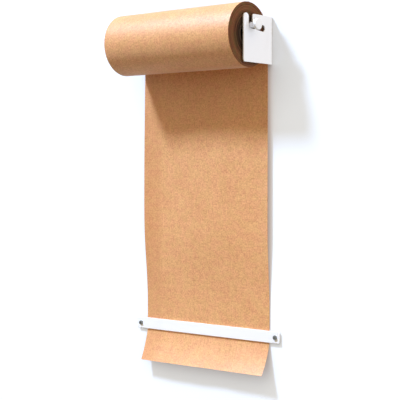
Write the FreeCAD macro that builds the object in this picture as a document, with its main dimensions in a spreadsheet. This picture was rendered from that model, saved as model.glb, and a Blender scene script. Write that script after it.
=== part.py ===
import FreeCAD, Part
import math
import os

import Sketcher

# A wall-mounted paper roll holder with a tear bar, in millimetres.
# X runs along the roll, +Y points into the wall and +Z points up.
# The origin is on the wall plane, at the centre of the four bracket screws.

# Driving sizes

SIZES = {
    # paper
    "paper_width": 300,
    "roll_diameter": 116,
    "core_bore": 45,
    "core_wall": 3.5,
    "sheet_thickness": 0.4,
    "roll_off_wall": 7,
    "sheet_off_wall_at_bar": 0.95,
    "bend_length": 150,
    "sheet_run_behind_bar": 50,
    "turn_out_radius": 50,
    "turn_out_angle": 14,
    "curl_radius": 200,
    "curl_angle": 30,
    # brackets
    "bracket_height": 86,
    "steel_thickness": 2.5,
    "flange_width": 30,
    "bend_inner_radius": 1,
    "corner_radius": 4,
    "prong_radius_share": 0.48,
    "lip_radius": 4,
    "end_gap": 2.9,
    # rod slot
    "slot_width": 11.6,
    "rod_from_front": 20.5,
    "rod_below_top": 20.1,
    "channel_run": 36.2,
    "channel_drop": 3.2,
    # rod, studs and knobs
    "rod_diameter": 11,
    "rod_chamfer": 0.6,
    "knob_stand_off": 11.6,
    "knob_diameter": 20.4,
    "knob_length": 6.8,
    "knob_edge_radius": 1.6,
    "stud_diameter": 5,
    "stud_length": 14.2,
    "stud_in_rod": 10,
    "stud_chamfer": 0.5,
    "stud_end_room": 1,
    # tear bar
    "bar_drop": 538.2,
    "bar_height": 22,
    "bar_screw_past_paper": 15,
    "bar_end_past_screw": 9,
    "bar_off_wall": 1.5,
    "bar_corner_radius": 3,
    "tear_bevel": 0.9,
    "spacer_diameter": 10,
    # wood screws
    "bracket_screw_spacing": 52,
    "bracket_screw_inset": 9.6,
    "bracket_screw_head": 8,
    "bracket_screw_head_height": 2.2,
    "bar_screw_head": 8.6,
    "bar_screw_head_height": 3,
    "screw_neck_diameter": 4.4,
    "screw_thread_diameter": 4,
    "screw_in_wall": 28,
    "screw_tip_length": 4,
    "head_edge_radius_share": 0.45,
    "recess_width_share": 0.16,
    "recess_span_share": 0.52,
    "recess_depth_share": 0.6,
    # clearances
    "running_gap": 0.3,
    "thread_gap": 0.1,
    "hole_gap": 0.15,
    "cut_overrun": 2,
}

doc = FreeCAD.newDocument("paper_roll_holder")
sheet = doc.addObject("Spreadsheet::Sheet", "Sizes")
for row, (alias, amount) in enumerate(SIZES.items(), start=1):
    sheet.set(f"A{row}", alias)
    sheet.set(f"B{row}", str(amount))
    sheet.setAlias(f"B{row}", alias)
doc.recompute()


# Formulas shared by several pieces

def size(alias):
    """The formula that reads one cell of the sheet."""
    return f"Sizes.{alias}"


def number(formula):
    """The present value of a formula."""
    return float(sheet.evalExpression(formula))


PLATE_INNER_X = "(Sizes.paper_width / 2 + Sizes.end_gap)"
PLATE_OUTER_X = f"({PLATE_INNER_X} + Sizes.steel_thickness)"
BRACKET_TOP_Z = "(Sizes.bracket_height / 2)"
SLOT_HALF = "(Sizes.slot_width / 2)"
ROLL_BACK_Y = "(-Sizes.roll_off_wall)"
ROD_Y = f"({ROLL_BACK_Y} - Sizes.roll_diameter / 2)"
FRONT_Y = f"({ROD_Y} - Sizes.rod_from_front)"
ROD_Z = f"({BRACKET_TOP_Z} - Sizes.rod_below_top)"
ROLL_Z = f"({ROD_Z} - Sizes.core_bore / 2 + Sizes.rod_diameter / 2 + Sizes.running_gap)"
KNOB_FACE_X = f"({PLATE_OUTER_X} + Sizes.knob_stand_off)"
SCREW_X = f"({PLATE_OUTER_X} - Sizes.flange_width + Sizes.bracket_screw_inset)"
BAR_SCREW_X = "(Sizes.paper_width / 2 + Sizes.bar_screw_past_paper)"
BAR_BOTTOM_Z = "(-Sizes.bar_drop - Sizes.bar_height / 2)"
HOLE_RADIUS = "(Sizes.screw_neck_diameter / 2 + Sizes.hole_gap)"

# how near an edge's middle has to be to the place that picks it
PICK_TOLERANCE = number("Sizes.steel_thickness") / 1000


# Drawing helpers

def new_body(label):
    """An empty body whose label names its file."""
    body = doc.addObject("PartDesign::Body", label)
    body.Label = label
    return body


def new_sketch(body, role, name, offset=None):
    """A sketch on one of the body's own origin planes, moved along its normal by a formula."""
    sketch = body.newObject("Sketcher::SketchObject", name)
    plane = next(item for item in body.Origin.OriginFeatures if item.Role == role)
    sketch.AttachmentSupport = [(plane, "")]
    sketch.MapMode = "FlatFace"
    if offset is not None:
        sketch.setExpression("AttachmentOffset.Base.z", offset)
    return sketch


def pin(sketch, name, kind, curve, point, formula):
    """Hold one coordinate of a curve's point at a formula's value."""
    sketch.addConstraint(Sketcher.Constraint(kind, -1, 1, curve, point, number(formula)))
    index = sketch.ConstraintCount - 1
    sketch.renameConstraint(index, name)
    sketch.setExpression(f"Constraints.{name}", formula)


def draw_outline(sketch, corners):
    """A closed outline. A corner is (x, y), or (x, y, radius, side) where an arc runs on from it.

    The arc's centre lies on the left of the way to the next corner where side is 1, and on its right
    where side is -1. It is never more than half a circle.
    """
    points = [FreeCAD.Vector(number(c[0]), number(c[1]), 0) for c in corners]
    total = len(corners)
    for index, corner in enumerate(corners):
        start, end = points[index], points[(index + 1) % total]
        if len(corner) == 2:
            sketch.addGeometry(Part.LineSegment(start, end))
            continue
        radius, side = number(corner[2]), corner[3]
        chord = end - start
        half = chord.Length / 2
        reach = math.sqrt(max(radius**2 - half**2, 0))
        left = FreeCAD.Vector(-chord.y, chord.x, 0).normalize()
        centre = (start + end) / 2 + left * reach * side
        first, last = (start, end) if side > 0 else (end, start)
        angles = [math.atan2(p.y - centre.y, p.x - centre.x) for p in (first, last)]
        if angles[1] < angles[0]:
            angles[1] += 2 * math.pi
        circle = Part.Circle(centre, FreeCAD.Vector(0, 0, 1), radius)
        sketch.addGeometry(Part.ArcOfCircle(circle, angles[0], angles[1]))
    for index, corner in enumerate(corners):
        before = (index - 1) % total
        starts = 2 if len(corner) == 4 and corner[3] < 0 else 1
        previous = corners[before]
        ends = 1 if len(previous) == 4 and previous[3] < 0 else 2
        sketch.addConstraint(Sketcher.Constraint("Coincident", before, ends, index, starts))
        pin(sketch, f"x_{index}", "DistanceX", index, starts, corner[0])
        pin(sketch, f"y_{index}", "DistanceY", index, starts, corner[1])
        if len(corner) == 4:
            sketch.addConstraint(Sketcher.Constraint("Radius", index, number(corner[2])))
            sketch.renameConstraint(sketch.ConstraintCount - 1, f"r_{index}")
            sketch.setExpression(f"Constraints.r_{index}", corner[2])


def draw_circle(sketch, name, x, y, radius):
    """A circle held at formulas for its centre and radius."""
    centre = FreeCAD.Vector(number(x), number(y), 0)
    up = FreeCAD.Vector(0, 0, 1)
    curve = sketch.addGeometry(Part.Circle(centre, up, number(radius)))
    pin(sketch, f"x_{name}", "DistanceX", curve, 3, x)
    pin(sketch, f"y_{name}", "DistanceY", curve, 3, y)
    sketch.addConstraint(Sketcher.Constraint("Radius", curve, number(radius)))
    sketch.renameConstraint(sketch.ConstraintCount - 1, f"r_{name}")
    sketch.setExpression(f"Constraints.r_{name}", radius)


def pad(body, sketch, length, both_ways=False, backwards=False):
    """Thicken a sketch by a formula's length."""
    feature = body.newObject("PartDesign::Pad", f"{body.Name}_pad")
    feature.Profile = sketch
    feature.SideType = "Symmetric" if both_ways else "One side"
    feature.Reversed = backwards
    feature.setExpression("Length", length)
    doc.recompute()
    return feature


def cut(body, sketch, depth, backwards=False):
    """Cut a sketch into the body, and stop if nothing was taken away."""
    before = body.Shape.Volume
    feature = body.newObject("PartDesign::Pocket", f"{body.Name}_cut")
    feature.Profile = sketch
    feature.Reversed = backwards
    feature.setExpression("Length", depth)
    doc.recompute()
    if not body.Shape.Volume < before:
        raise RuntimeError(f"{feature.Name} takes nothing away")
    return feature


def revolve(body, sketch, axis):
    """Turn a sketch once round its own horizontal or vertical axis."""
    feature = body.newObject("PartDesign::Revolution", f"{body.Name}_turned")
    feature.Profile = sketch
    feature.ReferenceAxis = (sketch, [axis])
    feature.Angle = 360
    doc.recompute()
    return feature


def dress(body, kind, amount, *middles):
    """Round or bevel the edges whose middles are given: kind is Fillet or Chamfer."""
    names = []
    for index, edge in enumerate(body.Shape.Edges, start=1):
        middle = edge.valueAt((edge.FirstParameter + edge.LastParameter) / 2)
        if any(middle.distanceToPoint(FreeCAD.Vector(*spot)) < PICK_TOLERANCE for spot in middles):
            names.append(f"Edge{index}")
    if len(names) != len(middles):
        raise RuntimeError(f"{body.Name}: {len(names)} edges found to {kind.lower()}, not {len(middles)}")
    feature = body.newObject(f"PartDesign::{kind}", f"{body.Name}_{kind.lower()}")
    feature.Base = (feature.BaseFeature, names)
    feature.setExpression("Radius" if kind == "Fillet" else "Size", amount)
    doc.recompute()
    return feature


def place(body, x="0", y="0", z="0", turned=False):
    """Put a body where the formulas say, turned half round about its upright axis if asked."""
    for axis, formula in zip("xyz", (x, y, z)):
        body.setExpression(f"Placement.Base.{axis}", formula)
    if turned:
        body.Placement.Rotation = FreeCAD.Rotation(FreeCAD.Vector(0, 0, 1), 180)


# Brackets: bent steel, with a slot that takes the rod in from above and leads it back towards the wall

def make_bracket(side_name, side):
    body = new_body(f"{side_name}_bracket")
    outer, inner = f"({side} * {PLATE_OUTER_X})", f"({side} * {PLATE_INNER_X})"
    tongue = f"({side} * ({PLATE_OUTER_X} - Sizes.flange_width))"
    plan = new_sketch(body, "XY_Plane", f"{side_name}_bracket_plan")
    draw_outline(plan, [
        (outer, "0"),
        (outer, FRONT_Y),
        (inner, FRONT_Y),
        (inner, "-Sizes.steel_thickness"),
        (tongue, "-Sizes.steel_thickness"),
        (tongue, "0"),
    ])
    pad(body, plan, size("bracket_height"), both_ways=True)

    # rod slot, drawn from its mouth down to the seat, back along the channel and up again
    slope = "atan(Sizes.channel_drop / Sizes.channel_run)"
    along_y, along_z = f"cos({slope})", f"-sin({slope})"
    rear_y, rear_z = f"({ROD_Y} + Sizes.channel_run)", f"({ROD_Z} - Sizes.channel_drop)"
    mouth_z = f"({BRACKET_TOP_Z} + Sizes.cut_overrun)"
    below = (f"{SLOT_HALF} * {along_z}", f"-{SLOT_HALF} * {along_y}")
    lip_z = f"({ROD_Z} + {SLOT_HALF} * (cos({slope}) - tan({slope}) * (1 - sin({slope}))))"
    slot = new_sketch(body, "YZ_Plane", f"{side_name}_bracket_slot")
    draw_outline(slot, [
        (f"{ROD_Y} - {SLOT_HALF}", mouth_z),
        (f"{ROD_Y} - {SLOT_HALF}", ROD_Z, SLOT_HALF, 1),
        (f"{ROD_Y} + {below[0]}", f"{ROD_Z} + {below[1]}"),
        (f"{rear_y} + {below[0]}", f"{rear_z} + {below[1]}", SLOT_HALF, 1),
        (f"{rear_y} + {SLOT_HALF} * {along_y}", f"{rear_z} + {SLOT_HALF} * {along_z}", SLOT_HALF, 1),
        (f"{rear_y} - {below[0]}", f"{rear_z} - {below[1]}"),
        (f"{ROD_Y} + {SLOT_HALF}", lip_z),
        (f"{ROD_Y} + {SLOT_HALF}", mouth_z),
    ])
    cut(body, slot, f"{PLATE_OUTER_X} + Sizes.cut_overrun", backwards=side > 0)

    # screw holes in the tongue that lies on the wall
    holes = new_sketch(body, "XZ_Plane", f"{side_name}_bracket_holes")
    for level, sign in (("upper", 1), ("lower", -1)):
        x, z = f"{side} * {SCREW_X}", f"{sign} * Sizes.bracket_screw_spacing / 2"
        draw_circle(holes, level, x, z, HOLE_RADIUS)
    cut(body, holes, size("steel_thickness"), backwards=True)

    # rounded corners and the bend
    top, front = number(BRACKET_TOP_Z), number(FRONT_Y)
    middle_x = number(f"({outer} + {inner}) / 2")
    front_lip, rear_lip = number(f"{ROD_Y} - {SLOT_HALF}"), number(f"{ROD_Y} + {SLOT_HALF}")
    prong_radius = f"(Sizes.rod_from_front - {SLOT_HALF}) * Sizes.prong_radius_share"
    dress(body, "Fillet", prong_radius, (middle_x, front, top), (middle_x, front_lip, top))
    dress(body, "Fillet", size("lip_radius"), (middle_x, rear_lip, top))
    dress(body, "Fillet", size("corner_radius"), (middle_x, front, -top))
    tongue_y = -number(size("steel_thickness")) / 2
    tongue_x = number(tongue)
    dress(body, "Fillet", size("corner_radius"), (tongue_x, tongue_y, top), (tongue_x, tongue_y, -top))
    dress(body, "Fillet", size("bend_inner_radius"), (number(inner), 2 * tongue_y, 0))
    dress(body, "Fillet", "Sizes.bend_inner_radius + Sizes.steel_thickness", (number(outer), 0, 0))
    return body


# Wood screws: a pan head with a cross recess, a plain neck, a threaded part and a point

def make_screw(label, head, head_height, grip, x, y, z):
    """One screw whose head lies on y, with a neck as long as what it holds down."""
    body = new_body(label)
    neck, thread = "Sizes.screw_neck_diameter / 2", "Sizes.screw_thread_diameter / 2"
    reach = f"({grip} + Sizes.screw_in_wall)"
    section = new_sketch(body, "XY_Plane", f"{label}_section")
    draw_outline(section, [
        ("0", f"-{head_height}"),
        (f"{head} / 2", f"-{head_height}"),
        (f"{head} / 2", "0"),
        (neck, "0"),
        (neck, grip),
        (thread, grip),
        (thread, f"{reach} - Sizes.screw_tip_length"),
        ("0", reach),
    ])
    revolve(body, section, "V_Axis")
    rim_edges = [
        f"Edge{index}" for index, edge in enumerate(body.Shape.Edges, start=1)
        if edge.Closed and abs(edge.CenterOfMass.y + number(head_height)) < PICK_TOLERANCE
    ]
    round_over = body.newObject("PartDesign::Fillet", f"{label}_crown")
    round_over.Base = (round_over.BaseFeature, rim_edges)
    round_over.setExpression("Radius", f"{head_height} * Sizes.head_edge_radius_share")
    doc.recompute()
    arm, tip = f"({head} * Sizes.recess_width_share / 2)", f"({head} * Sizes.recess_span_share / 2)"
    corners = []
    for x_sign, z_sign in (("", ""), ("-", ""), ("-", "-"), ("", "-")):
        wing = [(f"{x_sign}{tip}", f"{z_sign}{arm}"), (f"{x_sign}{arm}", f"{z_sign}{arm}")]
        wing.append((f"{x_sign}{arm}", f"{z_sign}{tip}"))
        corners += wing if x_sign == z_sign else wing[::-1]
    cross = new_sketch(body, "XZ_Plane", f"{label}_recess", head_height)
    draw_outline(cross, corners)
    cut(body, cross, f"{head_height} * Sizes.recess_depth_share")
    place(body, x, y, z)
    return body


# Rod set: the rod lies in both slots and carries a knob on a stud at each end

def make_rod():
    body = new_body("roller_rod")
    end, radius = KNOB_FACE_X, "Sizes.rod_diameter / 2"
    bore = "(Sizes.stud_diameter / 2 + Sizes.thread_gap)"
    floor = f"({end} - Sizes.stud_in_rod - Sizes.stud_end_room)"
    section = new_sketch(body, "XY_Plane", "roller_rod_section")
    draw_outline(section, [
        (f"-{floor}", "0"),
        (f"-{floor}", bore),
        (f"-{end}", bore),
        (f"-{end}", f"{radius} - Sizes.rod_chamfer"),
        (f"-{end} + Sizes.rod_chamfer", radius),
        (f"{end} - Sizes.rod_chamfer", radius),
        (end, f"{radius} - Sizes.rod_chamfer"),
        (end, bore),
        (floor, bore),
        (floor, "0"),
    ])
    revolve(body, section, "H_Axis")
    place(body, y=ROD_Y, z=ROD_Z)
    return body


def make_stud(side_name, side):
    """A threaded stud, half in the rod's end and half in the knob."""
    label = f"{side_name}_knob_stud"
    body = new_body(label)
    radius, chamfer = "Sizes.stud_diameter / 2", "Sizes.stud_chamfer"
    inner, outer = "-Sizes.stud_in_rod", "(Sizes.stud_length - Sizes.stud_in_rod)"
    section = new_sketch(body, "XY_Plane", f"{label}_section")
    draw_outline(section, [
        (inner, "0"),
        (inner, f"{radius} - {chamfer}"),
        (f"{inner} + {chamfer}", radius),
        (f"{outer} - {chamfer}", radius),
        (outer, f"{radius} - {chamfer}"),
        (outer, "0"),
    ])
    revolve(body, section, "H_Axis")
    place(body, f"{side} * {KNOB_FACE_X}", ROD_Y, ROD_Z, turned=side < 0)
    return body


def make_knob(side_name, side):
    """A plain round knob with softened outer edge and a blind threaded hole."""
    label = f"{side_name}_rod_knob"
    body = new_body(label)
    radius, edge = "Sizes.knob_diameter / 2", "Sizes.knob_edge_radius"
    bore = "(Sizes.stud_diameter / 2 + Sizes.thread_gap)"
    floor = "(Sizes.stud_length - Sizes.stud_in_rod + Sizes.stud_end_room)"
    section = new_sketch(body, "XY_Plane", f"{label}_section")
    draw_outline(section, [
        ("0", bore),
        ("0", f"{radius} - Sizes.rod_chamfer"),
        ("Sizes.rod_chamfer", radius),
        (f"Sizes.knob_length - {edge}", radius, edge, -1),
        ("Sizes.knob_length", f"{radius} - {edge}"),
        ("Sizes.knob_length", "0"),
        (floor, "0"),
        (floor, bore),
    ])
    revolve(body, section, "H_Axis")
    place(body, f"{side} * {KNOB_FACE_X}", ROD_Y, ROD_Z, turned=side < 0)
    return body


# Paper: the cardboard core, the wound roll and the sheet that hangs from its back

def make_tube(label, outer, inner, length, role, both_ways=False):
    """A plain tube along the normal of one origin plane."""
    body = new_body(label)
    ring = new_sketch(body, role, f"{label}_ring")
    draw_circle(ring, "outer", "0", "0", outer)
    draw_circle(ring, "inner", "0", "0", inner)
    pad(body, ring, length, both_ways=both_ways)
    return body


def make_roll():
    core_outer = "(Sizes.core_bore / 2 + Sizes.core_wall)"
    width = size("paper_width")
    core = make_tube("core_tube", core_outer, "Sizes.core_bore / 2", width, "YZ_Plane", True)
    roll = make_tube("paper_roll", "Sizes.roll_diameter / 2", core_outer, width, "YZ_Plane", True)
    for body in (core, roll):
        place(body, y=ROD_Y, z=ROLL_Z)
    return [core, roll]


def make_sheet():
    """The hanging length: straight, in towards the wall, out past the bar's lower edge, then curling."""
    body = new_body("paper_sheet")
    thick, turn, curl = "Sizes.sheet_thickness", "Sizes.turn_out_radius", "Sizes.curl_radius"
    top_y = f"({ROLL_BACK_Y} + Sizes.running_gap)"
    low_y = "(-Sizes.sheet_off_wall_at_bar)"
    # the turn starts where it takes the sheet out to the bar's lower back edge
    to_bar = "(Sizes.bar_off_wall - Sizes.running_gap - Sizes.sheet_off_wall_at_bar)"
    turn_z = f"({BAR_BOTTOM_Z} + sqrt({to_bar} * (2 * {turn} - {to_bar})))"
    # a straight run above the turn keeps the sheet clear of the bar as it slides down
    run_z = f"({turn_z} + Sizes.sheet_run_behind_bar)"
    bend_z = f"({run_z} + Sizes.bend_length)"
    half_drop, half_shift = "(Sizes.bend_length / 2)", f"(({low_y} - {top_y}) / 2)"
    bend = f"(({half_drop} * {half_drop} + {half_shift} * {half_shift}) / (2 * {half_shift}))"
    lean = f"asin({half_drop} / {bend})"
    turn_cos, turn_sin = "cos(Sizes.turn_out_angle * 1 deg)", "sin(Sizes.turn_out_angle * 1 deg)"
    end_cos, end_sin = "cos(Sizes.curl_angle * 1 deg)", "sin(Sizes.curl_angle * 1 deg)"
    middle_y, middle_z = f"({top_y} + {half_shift})", f"({bend_z} - {half_drop})"
    curl_y = f"({low_y} - {turn} * (1 - {turn_cos}))"
    curl_z = f"({turn_z} - {turn} * {turn_sin})"
    end_y = f"({curl_y} - {curl} * ({turn_cos} - {end_cos}))"
    end_z = f"({curl_z} - {curl} * ({end_sin} - {turn_sin}))"
    profile = new_sketch(body, "YZ_Plane", "paper_sheet_profile")
    draw_outline(profile, [
        (top_y, ROLL_Z),
        (top_y, bend_z, bend, 1),
        (middle_y, middle_z, bend, -1),
        (low_y, run_z),
        (low_y, turn_z, turn, -1),
        (curl_y, curl_z, curl, -1),
        (end_y, end_z),
        (f"{end_y} + {thick} * {end_cos}", f"{end_z} - {thick} * {end_sin}", f"({curl} + {thick})", 1),
        (
            f"{curl_y} + {thick} * {turn_cos}", f"{curl_z} - {thick} * {turn_sin}",
            f"({turn} + {thick})", 1,
        ),
        (f"{low_y} + {thick}", turn_z),
        (f"{low_y} + {thick}", run_z, f"({bend} + {thick})", 1),
        (
            f"{middle_y} + {thick} * cos({lean})", f"{middle_z} + {thick} * sin({lean})",
            f"({bend} - {thick})", -1,
        ),
        (f"{top_y} + {thick}", bend_z),
        (f"{top_y} + {thick}", ROLL_Z),
    ])
    pad(body, profile, size("paper_width"), both_ways=True)
    return body


# Tear bar: flat steel held off the wall by two thin spacers, so the sheet passes behind it

def make_bar():
    body = new_body("tear_bar")
    half_length, half_height = f"({BAR_SCREW_X} + Sizes.bar_end_past_screw)", "(Sizes.bar_height / 2)"
    face = new_sketch(body, "XZ_Plane", "tear_bar_face", size("bar_off_wall"))
    draw_outline(face, [
        (f"-{half_length}", f"-Sizes.bar_drop + {half_height}"),
        (f"-{half_length}", f"-Sizes.bar_drop - {half_height}"),
        (half_length, f"-Sizes.bar_drop - {half_height}"),
        (half_length, f"-Sizes.bar_drop + {half_height}"),
    ])
    for name, side in (("left", -1), ("right", 1)):
        draw_circle(face, name, f"{side} * {BAR_SCREW_X}", "-Sizes.bar_drop", HOLE_RADIUS)
    pad(body, face, size("steel_thickness"))
    end_x, middle_y = number(half_length), -number("Sizes.bar_off_wall + Sizes.steel_thickness / 2")
    low, high = number(BAR_BOTTOM_Z), number(f"-Sizes.bar_drop + {half_height}")
    corners = [(x, middle_y, z) for x in (-end_x, end_x) for z in (low, high)]
    dress(body, "Fillet", size("bar_corner_radius"), *corners)
    front_y = -number("Sizes.bar_off_wall + Sizes.steel_thickness")
    dress(body, "Chamfer", size("tear_bevel"), (0, front_y, low))
    return body


def make_spacer(side_name, side):
    spacer = make_tube(
        f"{side_name}_bar_spacer", "Sizes.spacer_diameter / 2", HOLE_RADIUS,
        size("bar_off_wall"), "XZ_Plane",
    )
    place(spacer, f"{side} * {BAR_SCREW_X}", z="-Sizes.bar_drop")
    return spacer


# Assembly

pieces = make_roll() + [make_rod(), make_sheet(), make_bar()]
for side_name, side in (("left", -1), ("right", 1)):
    pieces.append(make_bracket(side_name, side))
    pieces.append(make_stud(side_name, side))
    pieces.append(make_knob(side_name, side))
    pieces.append(make_spacer(side_name, side))
    for level, sign in (("upper", 1), ("lower", -1)):
        pieces.append(make_screw(
            f"{side_name}_{level}_bracket_screw",
            size("bracket_screw_head"), size("bracket_screw_head_height"), size("steel_thickness"),
            f"{side} * {SCREW_X}", "-Sizes.steel_thickness", f"{sign} * Sizes.bracket_screw_spacing / 2",
        ))
    pieces.append(make_screw(
        f"{side_name}_bar_screw",
        size("bar_screw_head"), size("bar_screw_head_height"),
        "(Sizes.bar_off_wall + Sizes.steel_thickness)",
        f"{side} * {BAR_SCREW_X}", "-Sizes.bar_off_wall - Sizes.steel_thickness", "-Sizes.bar_drop",
    ))
doc.recompute()

# Check and export

for item in doc.Objects:
    if "Invalid" in item.State or "Error" in item.State:
        raise RuntimeError(f"{item.Label} failed: {item.State}")
for piece in pieces:
    if piece.Shape.isNull() or not piece.Shape.isValid() or len(piece.Shape.Solids) != 1:
        raise RuntimeError(f"{piece.Label} isn't one valid solid")

os.makedirs("parts", exist_ok=True)
for piece in pieces:
    piece.Shape.exportStep(f"parts/{piece.Label}.step")
    box = piece.Shape.BoundBox
    print(piece.Label, round(piece.Shape.Volume, 1), [
        round(v, 2) for v in (box.XMin, box.XMax, box.YMin, box.YMax, box.ZMin, box.ZMax)
    ])
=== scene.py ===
"""Looks of a wall-mounted paper roll holder with a tear bar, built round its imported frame."""

import logging
import math
import random
from collections.abc import Callable, Mapping, Sequence
from dataclasses import dataclass, field
from enum import Enum

import bmesh
import bpy
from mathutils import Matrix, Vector
from mathutils.geometry import tessellate_polygon


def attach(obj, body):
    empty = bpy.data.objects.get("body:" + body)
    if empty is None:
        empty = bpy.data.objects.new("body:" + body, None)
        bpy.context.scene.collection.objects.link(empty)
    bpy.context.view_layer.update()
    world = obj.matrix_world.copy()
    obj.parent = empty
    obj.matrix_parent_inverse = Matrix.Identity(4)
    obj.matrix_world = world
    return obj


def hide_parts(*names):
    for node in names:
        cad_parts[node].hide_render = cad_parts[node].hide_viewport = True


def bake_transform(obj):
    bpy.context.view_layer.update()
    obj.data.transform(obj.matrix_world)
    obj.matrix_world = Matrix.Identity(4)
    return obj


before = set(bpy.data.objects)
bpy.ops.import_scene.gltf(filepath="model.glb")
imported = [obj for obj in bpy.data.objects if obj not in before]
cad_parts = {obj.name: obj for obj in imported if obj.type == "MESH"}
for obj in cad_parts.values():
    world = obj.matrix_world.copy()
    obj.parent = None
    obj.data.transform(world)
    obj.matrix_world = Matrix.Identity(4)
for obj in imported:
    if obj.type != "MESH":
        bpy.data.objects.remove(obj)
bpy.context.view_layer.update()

log = logging.getLogger("roll_holder")

MM = 0.001
PATTERN_MIDDLE = 0.5
SAME_POINT = 1e-4
ON_PLANE = 1e-5
LEAST_LEAN = 0.2
Point2 = tuple[float, float]
Point3 = tuple[float, float, float]
Cuts = tuple[Point2, ...]
Colour = tuple[float, float, float, float]


class Body(Enum):
    """Bodies of the frame that pieces ride on."""

    WALL = "root"
    ROD = "rod_set"
    ROLL = "roll"


class Slot(Enum):
    """Material slots of the record."""

    POWDER_COAT = "white_powder_coat"
    ZINC = "zinc_plated_steel"
    ROD = "rod_metal"
    KNOB = "knob_white"
    KRAFT = "kraft_paper"
    BOARD = "core_board"


class Side(Enum):
    """The two ends of the holder, as signs along X."""

    LEFT = -1
    RIGHT = 1

    @property
    def word(self) -> str:
        """The side's name as it stands in node names."""
        return self.name.lower()


class Grain(Enum):
    """Which coordinates a paper's grain follows."""

    UNROLLED = "UV"
    SOLID = "Object"


def tone(red: int, green: int, blue: int) -> Colour:
    """Turn a display colour into a shader colour.

    Args:
        red: Red from 0 to 255.
        green: Green from 0 to 255.
        blue: Blue from 0 to 255.

    Returns:
        The linear colour with full opacity.
    """
    shares = [part / 255 for part in (red, green, blue)]
    linear = [s / 12.92 if s <= 0.04045 else ((s + 0.055) / 1.055) ** 2.4 for s in shares]
    return linear[0], linear[1], linear[2], 1.0


def added(name: str, data: bpy.types.ID) -> bpy.types.Object:
    """A new object of the scene that shows some data."""
    made = bpy.data.objects.new(name, data)
    bpy.context.scene.collection.objects.link(made)
    return made


# Shader building

class Wire:
    """A shader socket that takes part in Python arithmetic."""

    def __init__(self, graph: "Graph", socket: bpy.types.NodeSocket) -> None:
        """Wrap a socket of a graph."""
        self.graph = graph
        self.socket = socket

    def maths(self, operation: str, *values: "Wire | float") -> "Wire":
        """Result of a Math node, with its inputs in order."""
        return self.graph.node("Math", dict(enumerate(values)), operation=operation)

    def __add__(self, other: "Wire | float") -> "Wire":
        """Sum of both."""
        return self.maths("ADD", self, other)

    def __radd__(self, other: float) -> "Wire":
        """Sum with a number on the left."""
        return self.maths("ADD", other, self)

    def __sub__(self, other: "Wire | float") -> "Wire":
        """Difference of both."""
        return self.maths("SUBTRACT", self, other)

    def __rsub__(self, other: float) -> "Wire":
        """Difference from a number on the left."""
        return self.maths("SUBTRACT", other, self)

    def __mul__(self, other: "Wire | float") -> "Wire":
        """Product of both."""
        return self.maths("MULTIPLY", self, other)

    def __rmul__(self, other: float) -> "Wire":
        """Product with a number on the left."""
        return self.maths("MULTIPLY", other, self)

    def swing(self, gain: float) -> "Wire":
        """How far a pattern is from its middle, times a gain."""
        return (self - PATTERN_MIDDLE) * gain

    def above(self, limit: float, softness: float) -> "Wire":
        """A mask from 0 to 1 that starts at a limit and is full the softness past it."""
        return self.graph.node(
            "MapRange", {"Value": self, "From Min": limit, "From Max": limit + softness},
            interpolation_type="SMOOTHSTEP",
        )


class Graph:
    """The node tree of one material, world or lamp, and the one way of adding nodes to it."""

    def __init__(self, owner: bpy.types.ID) -> None:
        """Empty the owner's node tree."""
        owner.use_nodes = True
        self.tree = owner.node_tree
        self.tree.nodes.clear()

    def node(
        self, kind: str, inputs: Mapping[str | int, object] | None = None,
        output: str | int = 0, **settings: object,
    ) -> Wire:
        """Add one node.

        Args:
            kind: The node's type without its prefix.
            inputs: Values or wires by socket name or place.
            output: The socket to return.
            **settings: Attributes that are set first.

        Returns:
            The chosen output, or the first input of a node that has no output.
        """
        made = self.tree.nodes.new(f"ShaderNode{kind}")
        for name, value in settings.items():
            setattr(made, name, value)
        for key, value in (inputs or {}).items():
            if isinstance(value, Wire):
                self.tree.links.new(value.socket, made.inputs[key])
            else:
                made.inputs[key].default_value = value
        return Wire(self, made.outputs[output] if made.outputs else made.inputs[0])

    def place(self, grain: Grain) -> Wire:
        """Coordinates in metres, unrolled or solid."""
        return self.node("TexCoord", output=grain.value)

    def stretched(self, place: Wire, x: float, y: float, z: float = 1.0) -> Wire:
        """Coordinates times a factor along each axis."""
        return self.node("VectorMath", {0: place, 1: (x, y, z)}, operation="MULTIPLY")

    def noise(self, place: Wire, scale: float, detail: float = 2.0, roughness: float = 0.5) -> Wire:
        """A noise around PATTERN_MIDDLE, of so many features a metre and so many octaves."""
        return self.node(
            "TexNoise",
            {"Vector": place, "Scale": scale, "Detail": detail, "Roughness": roughness},
        )

    def rings(self, distance: Wire, scale: float, detail: float = 2.0) -> Wire:
        """Noise along one distance, such as the layers of a roll."""
        return self.node(
            "TexNoise", {"W": distance, "Scale": scale, "Detail": detail}, noise_dimensions="1D"
        )

    def mixed(self, share: Wire | float, first: Wire | Colour, second: Wire | Colour) -> Wire:
        """Mix two colours by a share."""
        return self.node(
            "Mix", {0: share, 6: first, 7: second}, output=2, data_type="RGBA", clamp_factor=True
        )

    def shade(self, colour: Colour) -> Wire:
        """A plain colour as a wire."""
        return self.node("CombineXYZ", dict(enumerate(colour[:3])))

    def bump(self, height: Wire, distance: float, strength: float = 1.0) -> Wire:
        """The normal of a height pattern's relief, whose depth is in metres."""
        return self.node("Bump", {"Strength": strength, "Distance": distance, "Height": height})

    def finish(self, **sockets: object) -> None:
        """Close the tree with a Principled surface; underscores in names stand for spaces."""
        named = {name.replace("_", " "): value for name, value in sockets.items()}
        self.node("OutputMaterial", {"Surface": self.node("BsdfPrincipled", named)})


# Finishes

@dataclass(frozen=True)
class Finish:
    """A named finish, whose kinds draw their own shaders."""

    name: str

    def draw(self, graph: Graph) -> None:
        """Add the finish's nodes to its graph."""
        raise NotImplementedError

    def build(self) -> bpy.types.Material:
        """Make the material."""
        material = bpy.data.materials.new(self.name)
        self.draw(Graph(material))
        return material


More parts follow.
